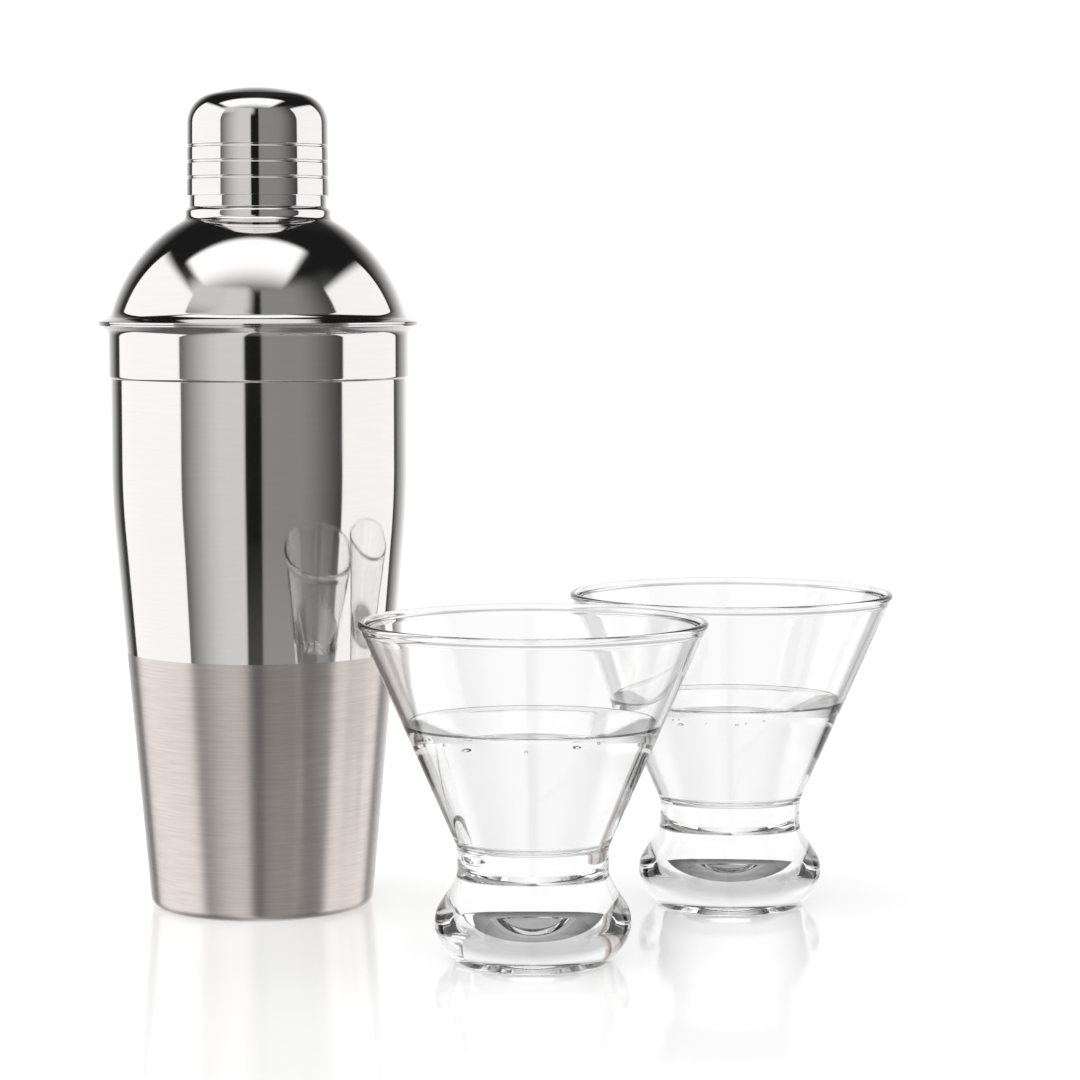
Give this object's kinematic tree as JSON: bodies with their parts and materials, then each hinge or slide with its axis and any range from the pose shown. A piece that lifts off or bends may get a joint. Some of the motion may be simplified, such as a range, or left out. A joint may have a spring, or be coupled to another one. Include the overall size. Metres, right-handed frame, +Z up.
{
  "type": "cocktail shaker set",
  "caption": "Three-piece steel cocktail shaker with domed strainer top and cap, beside stemless cone-shaped cocktail glasses on solid bulging feet.",
  "frame": {"origin": "on the table, in the middle of the rectangle that the shaker and the glasses stand in", "axes": "+Z up; +Y away from the front glass, towards the shaker and the rear glass; +X from the shaker towards the rear glass"},
  "size_m": [0.2372, 0.1806, 0.245],
  "materials": {
    "cup_steel": "stainless steel, mirror polished above a brushed lower band",
    "mirror_steel": "mirror polished stainless steel",
    "satin_steel": "satin stainless steel",
    "clear_glass": "clear, fire polished"
  },
  "bodies": {
    "cup": {"shaker_cup": "cup_steel"},
    "top": {"strainer_top": "mirror_steel", "strainer_disc": "satin_steel"},
    "cap": {"cap": "mirror_steel"},
    "front_glass": {"glass_front": "clear_glass"},
    "rear_glass": {"glass_rear": "clear_glass"}
  },
  "joints": [
    {"name": "strainer_top_lift", "type": "slide", "parent": "cup", "child": "top", "axis": [0, 0, 1], "range_m": [0, 0.06]},
    {"name": "cap_lift", "type": "slide", "parent": "top", "child": "cap", "axis": [0, 0, 1], "range_m": [0, 0.06]},
    {"name": "front_glass_lift", "type": "slide", "parent": "cup", "child": "front_glass", "axis": [0, 0, 1], "range_m": [0, 0.12]},
    {"name": "rear_glass_lift", "type": "slide", "parent": "cup", "child": "rear_glass", "axis": [0, 0, 1], "range_m": [0, 0.12]}
  ]
}
